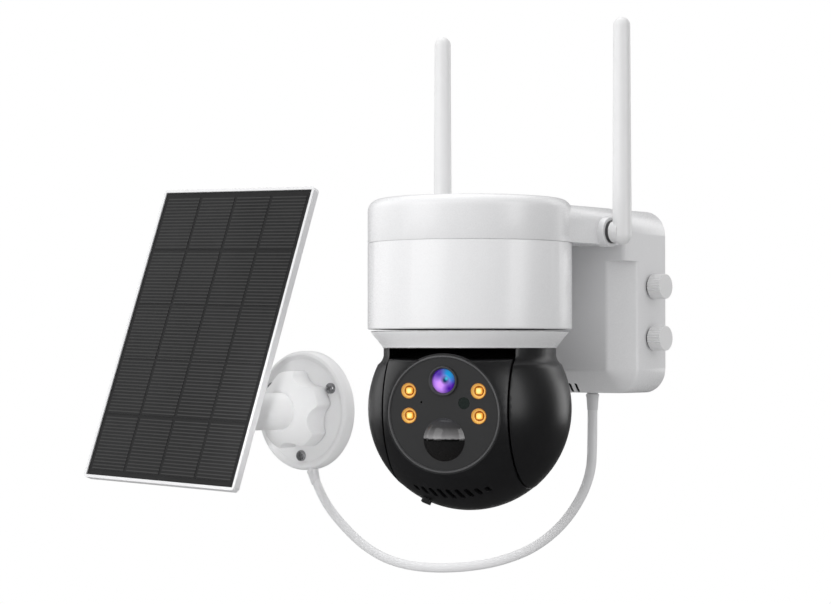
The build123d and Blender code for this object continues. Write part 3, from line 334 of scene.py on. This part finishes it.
# The corners of the cord's route in part.py. The curve rounds them.
route = [
    (-0.206367, -0.0048, -0.10292),
    (-0.199756, -0.0048, -0.119877),
    (-0.1728, -0.0069, -0.1417),
    (-0.1488, -0.0088, -0.1534),
    (-0.1239, -0.0106, -0.1579),
    (-0.0983, -0.0122, -0.1578),
    (-0.0722, -0.0138, -0.1550),
    (-0.0474, -0.0153, -0.1499),
    (-0.0211, -0.0169, -0.1400),
    (0.0018, -0.0183, -0.1229),
    (0.0176, -0.0193, -0.0992),
    (0.0188, -0.0194, -0.0755),
    (0.0188, -0.0194, -0.0518),
]
cord_curve = bpy.data.curves.new("cord", "CURVE")
cord_curve.dimensions = "3D"
cord_curve.bevel_depth = CORD_R
cord_curve.bevel_resolution = 10
cord_curve.use_fill_caps = True
line = cord_curve.splines.new("NURBS")
line.points.add(len(route) - 1)
for point, where in zip(line.points, route):
    point.co = (*where, 1)
line.order_u = 3
line.use_endpoint_u = True
line.resolution_u = 16
cord_curve.materials.append(cord_white)
cord = add_object("cord_line", cord_curve)
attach(cord, "camera_base")


def along(start, towards):
    """Frame at start whose z axis points towards another point."""
    start, towards = Vector(start), Vector(towards)
    return Matrix.Translation(start) @ (towards - start).to_track_quat("Z", "Y").to_matrix().to_4x4()


# Strain reliefs: length outside the housing, then the radius at the root, at the thin end, of the bore
# and of the sunk part. Below it, how deep each one is sunk into its housing.
RELIEF_L, RELIEF_R, RELIEF_END_R, RELIEF_BORE_R, RELIEF_SUNK_R = 9.0, 3.7, 2.95, 2.7, 3.05
BASE_SUNK, BOX_SUNK = 4.6, 3.5


def strain_relief(sunk):
    """Sleeve that tapers onto the cord, from its root in the housing to its thin end."""
    outline = [(RELIEF_BORE_R, -sunk), (RELIEF_SUNK_R, -sunk), (RELIEF_SUNK_R, 0), (RELIEF_R, 0)]
    outline += [(RELIEF_R, 1.2), (RELIEF_R - 0.25, 1.6), (RELIEF_END_R, RELIEF_L), (RELIEF_BORE_R, RELIEF_L)]
    return lathe(rounded(metres(outline), [0, 0, 0, 0, 0.3 * MM, 0.3 * MM, 0.1 * MM, 0]), 48)


base_relief = place(
    "base_strain_relief", strain_relief(BASE_SUNK), along(route[0], route[1]), relief_white, "camera_base",
)
box_relief = place(
    "box_strain_relief", strain_relief(BOX_SUNK), along(route[-1], route[-2]), relief_white, "camera_base",
)
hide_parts("cord")
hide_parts("base_gland")
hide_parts("box_gland")

# ---- lens, lights and sensors on the face -------------------------------------------------------

# The face plate's height above the ball's middle, and the middles of the lens and the motion dome.
FACE_H, LENS_Z, PIR_Z = 43.9, 17.3, -13.3
LENS_R, GLASS_R, PIR_R, PIR_RISE, PIR_SKIN = 7.7, 6.38, 11.3, 5.4, 0.9
LED_R, LED_X, LED_HIGH, LED_LOW = 4.15, 19.1, 12.1, -0.9
LED_PLACES = {
    "upper_left": (-LED_X, LED_HIGH),
    "lower_left": (-LED_X, LED_LOW),
    "upper_right": (LED_X, LED_HIGH),
    "lower_right": (LED_X, LED_LOW),
}
# The LED chip's side, height and middle; edges above the shoulder belong to its top.
CHIP_SIDE, CHIP_H, CHIP_MIDDLE, CHIP_SHOULDER = 3.3, 1.75, 42.6, 43.4
CHIP_CORNER_R, CHIP_EDGE_R, CHIP_PLAN = 0.8, 0.3, 2.0


def cap(radius, base, top, steps=14, inward=False):
    """Points of a spherical cap from its edge to its apex, or back."""
    rise = top - base
    sphere_r = (radius**2 + rise**2) / (2 * rise)
    sweep = asin(radius / sphere_r)
    angles = [sweep * (1 - step / steps) for step in range(steps + 1)]
    points = [(sphere_r * sin(a), top - sphere_r * (1 - cos(a))) for a in angles]
    return points[::-1] if inward else points


def plan_uv(mesh, half_size):
    """UVs from a mesh's own x and y, -1 to 1 across its half size."""
    layer = mesh.uv_layers.new(name="plan")
    for loop in mesh.loops:
        where = mesh.vertices[loop.vertex_index].co
        layer.data[loop.index].uv = (where.x / half_size, where.y / half_size)


def plan_socket(tree):
    """UV socket of the map that plan_uv makes."""
    plan = tree.nodes.new("ShaderNodeUVMap")
    plan.uv_map = "plan"
    return plan.outputs["UV"]


def plan_height(tree):
    """Second coordinate of the map that plan_uv makes."""
    split = tree.nodes.new("ShaderNodeSeparateXYZ")
    tree.links.new(plan_socket(tree), split.inputs["Vector"])
    return split.outputs["Y"]


def spot(tree, uv, centre, radius, softness):
    """1 inside a disc of the plan, falling to 0 over a soft edge."""
    gap = tree.nodes.new("ShaderNodeVectorMath")
    gap.operation = "DISTANCE"
    gap.inputs[1].default_value = (*centre, 0)
    tree.links.new(uv, gap.inputs[0])
    return spread(tree, gap.outputs["Value"], 1, 0, radius - softness / 2, radius + softness / 2)


def patterned(name, ground, spots, rough, glow=0.0, **shader):
    """A material with soft discs, each (centre, radius, softness, colour), laid over a ground colour.

    The discs are drawn on the plan of the piece. glow lets the same colour shine, as painted glow.
    """
    made = material(name, ground, rough, grain=1400, depth=0.000004, **shader)
    tree = made.node_tree
    surface = tree.nodes["Principled BSDF"]
    uv = plan_socket(tree)
    colour = ground
    for centre, radius, softness, tint in spots:
        colour = blend(tree, spot(tree, uv, centre, radius, softness), colour, tint)
    tree.links.new(colour, surface.inputs["Base Color"])
    # Painted glow: the surface gives off its own colour, though it is no lamp.
    if glow:
        tree.links.new(colour, surface.inputs["Emission Color"])
        surface.inputs["Emission Strength"].default_value = glow
    return made


# Lens: a violet coating tint, darker at its border, with a dark middle. The pink patch at lower left, the
# blue patch at upper right and the small cyan glint are painted reflections, and its glow is painted glow.
lens_coating_and_painted_reflection = patterned(
    "lens_coating_and_painted_reflection",
    (0.02, 0.008, 0.07),
    (
        ((0, 0), 0.90, 0.30, (0.09, 0.015, 0.42)),
        ((0.38, 0.48), 0.55, 0.7, (0.01, 0.26, 0.55)),
        ((-0.22, -0.32), 0.62, 0.8, (0.55, 0.26, 0.85)),
        ((0.5, -0.62), 0.35, 0.6, (0.06, 0.005, 0.30)),
        ((-0.35, 0.6), 0.4, 0.6, (0.05, 0.01, 0.28)),
        ((0.16, 0.06), 0.26, 0.3, (0.005, 0.03, 0.09)),
        ((0.3, 0.2), 0.12, 0.15, (0.04, 0.40, 0.55)),
    ),
    (0.05, 0.1),
    glow=0.35,
    Specular_IOR_Level=0.2,
)
glass = [(0, FACE_H - 1.6), (GLASS_R, FACE_H - 1.6)] + cap(GLASS_R, FACE_H - 0.4, FACE_H + 0.6)
lens_mesh = lathe(metres(glass))
plan_uv(lens_mesh, GLASS_R * MM)
lens = place("lens_front", lens_mesh, on_face(0, LENS_Z), lens_coating_and_painted_reflection, "head_tilt")
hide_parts("lens_glass")

bezel = [(6.4, 41.6), (LENS_R, 41.6), (LENS_R, 45.2), (6.95, 45.2), (6.85, 44.7), (6.4, 44.2)]
bezel_mesh = lathe(rounded(metres(bezel), [0, 0, 0.35 * MM, 0.2 * MM, 0.1 * MM, 0]))
lens_bezel = place("lens_bezel", bezel_mesh, on_face(0, LENS_Z), ring_dark, "head_tilt")
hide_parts("lens_ring")

# Painted reflection on the motion dome, as grey tones by height across its plan: painted dark reflection
# below a ragged line, and a painted bright band just above it.
DOME_REFLECTION_TONES = ((0.48, 0.010), (0.525, 0.002), (0.545, 0.002), (0.57, 0.26), (0.66, 0.15), (0.82, 0.05))
DOME_REFLECTION_LOWEST, DOME_REFLECTION_HIGHEST = (0.012, 0.011, 0.011), (0.04, 0.04, 0.045)
DOME_RAGGED = 0.10


def dome_painted_reflection():
    """Glossy material of the motion dome, with a painted reflection: a dark lower half and a bright band
    above it.
    """
    made = material(
        "motion_lens_painted_reflection", (0.02, 0.02, 0.021), (0.06, 0.1), grain=700, depth=0.000004,
        Specular_IOR_Level=0.35,
    )
    tree = made.node_tree
    ragged = tree.nodes.new("ShaderNodeMath")
    ragged.operation = "MULTIPLY_ADD"
    tree.links.new(noise(tree, 380, 2), ragged.inputs[0])
    ragged.inputs[1].default_value = DOME_RAGGED
    tree.links.new(plan_height(tree), ragged.inputs[2])
    tones = tree.nodes.new("ShaderNodeValToRGB")
    stops = tones.color_ramp.elements
    stops[0].position, stops[0].color = 0.0, (*DOME_REFLECTION_LOWEST, 1)
    stops[1].position, stops[1].color = 1.0, (*DOME_REFLECTION_HIGHEST, 1)
    for position, tone in DOME_REFLECTION_TONES:
        stop = stops.new(position)
        stop.color = (tone, tone * 0.98, tone, 1)
    tree.links.new(spread(tree, ragged.outputs["Value"], 0, 1, -1, 1), tones.inputs["Fac"])
    tree.links.new(tones.outputs["Color"], tree.nodes["Principled BSDF"].inputs["Base Color"])
    return made


inner_r, root = PIR_R - PIR_SKIN, FACE_H - 2.3
dome = [(inner_r, FACE_H), (inner_r, root), (PIR_R, root), (PIR_R, FACE_H)]
dome += cap(PIR_R - 0.15, FACE_H + 0.1, FACE_H + PIR_RISE, 24)
dome += cap(inner_r, FACE_H, FACE_H + PIR_RISE - PIR_SKIN, 12, inward=True)[:-1]
dome_mesh = lathe(metres(dome), 128)
plan_uv(dome_mesh, PIR_R * MM)
pir = place("motion_dome", dome_mesh, on_face(0, PIR_Z), dome_painted_reflection(), "head_tilt")
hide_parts("motion_lens")

# LED chip: yellow, brighter towards its middle and orange at its corners. Its glow is painted glow.
led_chip_painted_glow = patterned(
    "led_chip_yellow_painted_glow",
    (0.95, 0.42, 0.06),
    (((0, 0), 0.95, 0.25, (0.95, 0.50, 0.07)), ((0, 0), 0.6, 0.3, (1.0, 0.76, 0.26))),
    (0.2, 0.3),
    glow=0.3,
)
# LED reflector: gold, with painted highlight as bright rings on the upper bowl and painted shade as darker
# rings down the bowl and on its floor. Its glow is painted glow.
led_gold_painted_light = patterned(
    "led_reflector_gold_painted_light",
    (0.42, 0.16, 0.02),
    (
        ((0, 0), 0.90, 0.08, (0.80, 0.48, 0.10)),
        ((0, 0), 0.78, 0.1, (0.95, 0.66, 0.24)),
        ((0, 0), 0.66, 0.1, (0.40, 0.15, 0.01)),
        ((0, 0), 0.46, 0.1, (0.30, 0.10, 0.01)),
    ),
    (0.18, 0.3),
    glow=0.1,
)


def led_cup():
    """Mesh of a round reflector whose bowl narrows to a flat floor under the chip."""
    bowl = [(3.65, 44.2), (3.1, 43.2), (2.6, 42.5), (2.3, 41.7), (0, 41.7)]
    outline = metres([(0, 40.05), (LED_R, 40.05), (LED_R, 44.2)] + bowl)
    return lathe(rounded(outline, [0, 0, 0.2 * MM, 0.15 * MM, 0.2 * MM, 0.2 * MM, 0.1 * MM, 0]), 64)


def led_chip():
    """Mesh of a square chip with round corners and a softened top edge."""
    form = bmesh.new()
    size = Matrix.Diagonal((CHIP_SIDE * MM, CHIP_SIDE * MM, CHIP_H * MM, 1))
    bmesh.ops.create_cube(form, size=1, matrix=Matrix.Translation((0, 0, CHIP_MIDDLE * MM)) @ size)
    upright = [edge for edge in form.edges if abs((edge.verts[0].co - edge.verts[1].co).z) > MM]
    bmesh.ops.bevel(form, geom=upright, offset=CHIP_CORNER_R * MM, segments=5, affect="EDGES", profile=0.5)
    top = [edge for edge in form.edges if min(vert.co.z for vert in edge.verts) > CHIP_SHOULDER * MM]
    bmesh.ops.bevel(form, geom=top, offset=CHIP_EDGE_R * MM, segments=3, affect="EDGES", profile=0.5)
    return finished(form, "chip")


cups, chips = [], []
for name, (x, z) in LED_PLACES.items():
    cup_mesh = led_cup()
    plan_uv(cup_mesh, LED_R * MM)
    cups.append(place(f"led_cup_{name}", cup_mesh, on_face(x, z), led_gold_painted_light, "head_tilt"))
    chip_mesh = led_chip()
    plan_uv(chip_mesh, CHIP_PLAN * MM)
    chips.append(place(f"led_chip_{name}", chip_mesh, on_face(x, z), led_chip_painted_glow, "head_tilt"))
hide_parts("led_cups")
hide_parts("led_chips")

# ---- vents --------------------------------------------------------------------------------------

# The box's lower chamfer: its middle, and its axes as columns (along X, up the slope, out of it).
VENT_CENTRE = Vector((0, -33.75, -44.75))
VENT_AXES = Matrix(((1, 0, 0), (0, -1, -1), (0, 1, -1)))
# The row of slots on it. Each is filled by a plug VENT_PLUG thick that starts VENT_DEEP under the face.
VENT_COUNT, VENT_PITCH, VENT_LENGTH, VENT_WIDTH, VENT_LEAN = 8, 4.06, 7.3, 2.0, 82.5
VENT_X, VENT_Y, VENT_DEEP, VENT_PLUG = 1.6, -4.9, 2.2, 1.7


def slot_points(x, y, length, width, lean):
    """Outline of a round-ended slot whose long side leans from the x axis."""
    points = []
    reach = (length - width) / 2
    for end in (0, pi):
        middle_x, middle_y = x + reach * cos(lean + end), y + reach * sin(lean + end)
        for step in range(9):
            angle = lean + end + pi * (step / 8 - 0.5)
            points.append((middle_x + width / 2 * cos(angle), middle_y + width / 2 * sin(angle)))
    return points


form = bmesh.new()
for index in range(VENT_COUNT):
    slot_x = VENT_X + VENT_PITCH * (index - (VENT_COUNT - 1) / 2)
    outline = slot_points(slot_x, VENT_Y, VENT_LENGTH, VENT_WIDTH, radians(VENT_LEAN))
    ring = [form.verts.new(Vector((x, y, -VENT_DEEP)) * MM) for x, y in outline]
    grown = bmesh.ops.extrude_face_region(form, geom=[form.faces.new(ring)])["geom"]
    lifted = [item for item in grown if isinstance(item, bmesh.types.BMVert)]
    bmesh.ops.translate(form, vec=(0, 0, VENT_PLUG * MM), verts=lifted)
bmesh.ops.recalc_face_normals(form, faces=form.faces)
vent_place = Matrix.Translation(VENT_CENTRE * MM) @ VENT_AXES.normalized().to_4x4()
vents = place("vent_slots", finished(form, "vents"), vent_place, mesh_black, "camera_base")
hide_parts("vent_mesh")

# ---- solar cell sheet ---------------------------------------------------------------------------

# The panel's middle above its hinge pin, and the sheet of cells that lies in its frame.
PANEL_RISE = 45.1
SHEET_W, SHEET_H, SHEET_LOW, SHEET_TOP = 122.7, 185.2, 15.5, 17.3
COLUMNS, ROWS = 4, 5
SHEET_EDGE_X, SHEET_EDGE_Y, GAP_X, GAP_Y = 3.0, 3.4, 2.2, 1.3
CELL_SUNK, CELL_PROUD = 0.1, 0.15
# The fine lines printed across each cell, and the share of their pitch that they fill.
FINGER_PITCH, FINGER_SHARE = 2.15, 0.30


def panel_mesh(blocks):
    """Mesh of boxes on the panel, with UVs in millimetres across the panel."""
    form = bmesh.new()
    for low, high in blocks:
        low, high = Vector(low) * MM, Vector(high) * MM
        centre, size = Matrix.Translation((high + low) / 2), Matrix.Diagonal((*(high - low), 1))
        bmesh.ops.create_cube(form, size=1, matrix=centre @ size)
    mesh = finished(form, "panel")
    plan_uv(mesh, MM)
    return mesh


def cell_print():
    """Material of the cells: cloudy near-black wafers with fine lighter lines across them."""
    made = material(
        "solar_cells", (0.03, 0.03, 0.031), (0.3, 0.42), grain=700, shade=0.8, Specular_IOR_Level=0.35
    )
    tree = made.node_tree
    stripe = tree.nodes.new("ShaderNodeMath")
    stripe.operation = "PINGPONG"
    stripe.inputs[1].default_value = FINGER_PITCH / 2
    tree.links.new(plan_height(tree), stripe.inputs[0])
    width = FINGER_PITCH * FINGER_SHARE
    finger = spread(tree, stripe.outputs["Value"], 1, 0, width * 0.35, width * 0.65)
    cloud = spread(tree, noise(tree, 18, 5, 0.7), 0, 1)
    wafer = blend(tree, cloud, (0.010, 0.010, 0.0104), (0.019, 0.019, 0.0195))
    lines = blend(tree, finger, wafer, (0.046, 0.046, 0.046))
    tree.links.new(lines, tree.nodes["Principled BSDF"].inputs["Base Color"])
    return made


half_w, half_h = SHEET_W / 2, SHEET_H / 2
cell_w = (SHEET_W - 2 * SHEET_EDGE_X - (COLUMNS - 1) * GAP_X) / COLUMNS
cell_h = (SHEET_H - 2 * SHEET_EDGE_Y - (ROWS - 1) * GAP_Y) / ROWS
cell_blocks = []
for column in range(COLUMNS):
    for row in range(ROWS):
        x = -half_w + SHEET_EDGE_X + column * (cell_w + GAP_X)
        y = PANEL_RISE - half_h + SHEET_EDGE_Y + row * (cell_h + GAP_Y)
        cell_blocks.append(((x, y, SHEET_TOP - CELL_SUNK), (x + cell_w, y + cell_h, SHEET_TOP + CELL_PROUD)))
backing_block = ((-half_w, PANEL_RISE - half_h, SHEET_LOW), (half_w, PANEL_RISE + half_h, SHEET_TOP))

backing = material(
    "cell_backing", (0.013, 0.013, 0.0135), (0.35, 0.5), grain=900, shade=0.8, Specular_IOR_Level=0.35
)
cells = cell_print()
sheet = place("panel_backing", panel_mesh([backing_block]), PANEL, backing, "solar_panel")
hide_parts("solar_cells")
place("panel_cells", panel_mesh(cell_blocks), PANEL, cells, "solar_panel")

# ---- stage --------------------------------------------------------------------------------------

FLOOR_Z, FLOOR_HALF, FLOOR_IN_GLOSS = -0.30, 60.0, 0.06
# Strength of the studio's light from its dim side to its bright side, and its share in reflections.
WORLD_LOW, WORLD_HIGH, WORLD_IN_GLOSS = 0.62, 0.94, 0.16
WORLD_BRIGHT_SIDE = (-0.35, -0.75, 0.55)


def mix_shaders(tree, factor, under, over):
    """Mix two shader sockets by a factor socket."""
    mixer = tree.nodes.new("ShaderNodeMixShader")
    tree.links.new(factor, mixer.inputs["Fac"])
    tree.links.new(under, mixer.inputs[1])
    tree.links.new(over, mixer.inputs[2])
    return mixer.outputs["Shader"]


def floor_paper():
    """Floor material: plain white to the camera, dim in reflections, and paper to all other rays."""
    made = material("floor_paper", (0.5, 0.5, 0.5), (0.8, 0.9), grain=300, shade=0.995)
    tree = made.node_tree
    rays = tree.nodes.new("ShaderNodeLightPath").outputs
    plain, dim = tree.nodes.new("ShaderNodeEmission"), tree.nodes.new("ShaderNodeEmission")
    dim.inputs["Strength"].default_value = FLOOR_IN_GLOSS
    paper = tree.nodes["Principled BSDF"].outputs["BSDF"]
    look = mix_shaders(tree, rays["Is Glossy Ray"], paper, dim.outputs["Emission"])
    look = mix_shaders(tree, rays["Is Camera Ray"], look, plain.outputs["Emission"])
    tree.links.new(look, tree.nodes["Material Output"].inputs["Surface"])
    return made


def studio_world():
    """World that is white to the camera and, as a light, brighter on one side and dim in reflections."""
    made = bpy.data.worlds.new("studio")
    made.use_nodes = True
    tree = made.node_tree
    rays = tree.nodes.new("ShaderNodeLightPath").outputs
    light, seen = tree.nodes["Background"], tree.nodes.new("ShaderNodeBackground")
    for background in (light, seen):
        background.inputs["Color"].default_value = (1, 1, 1, 1)
    seen.inputs["Strength"].default_value = 1.0
    direction = tree.nodes.new("ShaderNodeTexCoord")
    facing = tree.nodes.new("ShaderNodeVectorMath")
    facing.operation = "DOT_PRODUCT"
    facing.inputs[1].default_value = WORLD_BRIGHT_SIDE
    tree.links.new(direction.outputs["Generated"], facing.inputs[0])
    dim = tree.nodes.new("ShaderNodeMath")
    dim.operation = "MULTIPLY"
    glow = spread(tree, facing.outputs["Value"], WORLD_LOW, WORLD_HIGH, -0.8, 0.8)
    tree.links.new(glow, dim.inputs[0])
    tree.links.new(spread(tree, rays["Is Glossy Ray"], 1.0, WORLD_IN_GLOSS, 0, 1), dim.inputs[1])
    tree.links.new(dim.outputs["Value"], light.inputs["Strength"])
    look = mix_shaders(tree, rays["Is Camera Ray"], light.outputs["Background"], seen.outputs["Background"])
    tree.links.new(look, tree.nodes["World Output"].inputs["Surface"])
    return made


scene.view_settings.view_transform = "Standard"
floor_mesh = bpy.data.meshes.new("floor")
corners = [(x * FLOOR_HALF, y * FLOOR_HALF, FLOOR_Z) for x, y in ((-1, -1), (1, -1), (1, 1), (-1, 1))]
floor_mesh.from_pydata(corners, [], [(0, 1, 2, 3)])
floor = add_object("floor", floor_mesh)
floor_mesh.materials.append(floor_paper())
scene.world = studio_world()

LIGHT_DISTANCE = 2.2


def softbox(name, azimuth, height, size, power):
    """Rectangular light aimed at the ball from an azimuth (0 looks along +Y) and a height angle."""
    data = bpy.data.lights.new(name, "AREA")
    data.shape = "RECTANGLE"
    data.size, data.size_y = size
    data.energy = power
    light = add_object(name, data)
    turn, rise = radians(azimuth), radians(height)
    away = Vector((sin(turn) * cos(rise), -cos(turn) * cos(rise), sin(rise)))
    light.location = BALL + away * LIGHT_DISTANCE
    light.rotation_euler = away.to_track_quat("Z", "Y").to_euler()
    return light


softbox("strip_left", AIM - 54, 8, (1.5, 2.6), 25)
# The sheens show in reflections only.
sheens = (
    softbox("sheen_right", AIM + 50, 6, (0.8, 2.6), 19),
    softbox("sheen_rim_left", AIM - 122, 8, (1.4, 2.4), 10),
    softbox("sheen_rim_right", AIM + 128, 8, (1.0, 2.4), 14),
)
for sheen in sheens:
    sheen.visible_diffuse = False

# A narrow light from beside the camera, so that the solar mount is lit from the front.
FILL_POWER, FILL_CONE, FILL_BLEND, FILL_RADIUS, FILL_ASIDE = 62, 3.3, 0.7, 0.04, 0.1
MOUNT_FRONT = 0.02
fill_data = bpy.data.lights.new("solar_mount_fill", "SPOT")
fill_data.energy = FILL_POWER
fill_data.spot_size = radians(FILL_CONE)
fill_data.spot_blend = FILL_BLEND
fill_data.shadow_soft_size = FILL_RADIUS
fill = add_object("solar_mount_fill", fill_data)
fill.location = camera.location - FILL_ASIDE * aside
mount_middle = middle("solar_base") - Vector((0, MOUNT_FRONT, 0))
fill.rotation_euler = (fill.location - mount_middle).to_track_quat("Z", "Y").to_euler()

# A wide, soft light from above, a little from the wall's side and from the left.
SUN_POWER, SUN_SPREAD, SUN_TILT = 1.1, 60, (-12, -10, 0)
sun_data = bpy.data.lights.new("overhead", "SUN")
sun_data.energy = SUN_POWER
sun_data.angle = radians(SUN_SPREAD)
sun = add_object("overhead", sun_data)
sun.rotation_euler = [radians(tilt) for tilt in SUN_TILT]
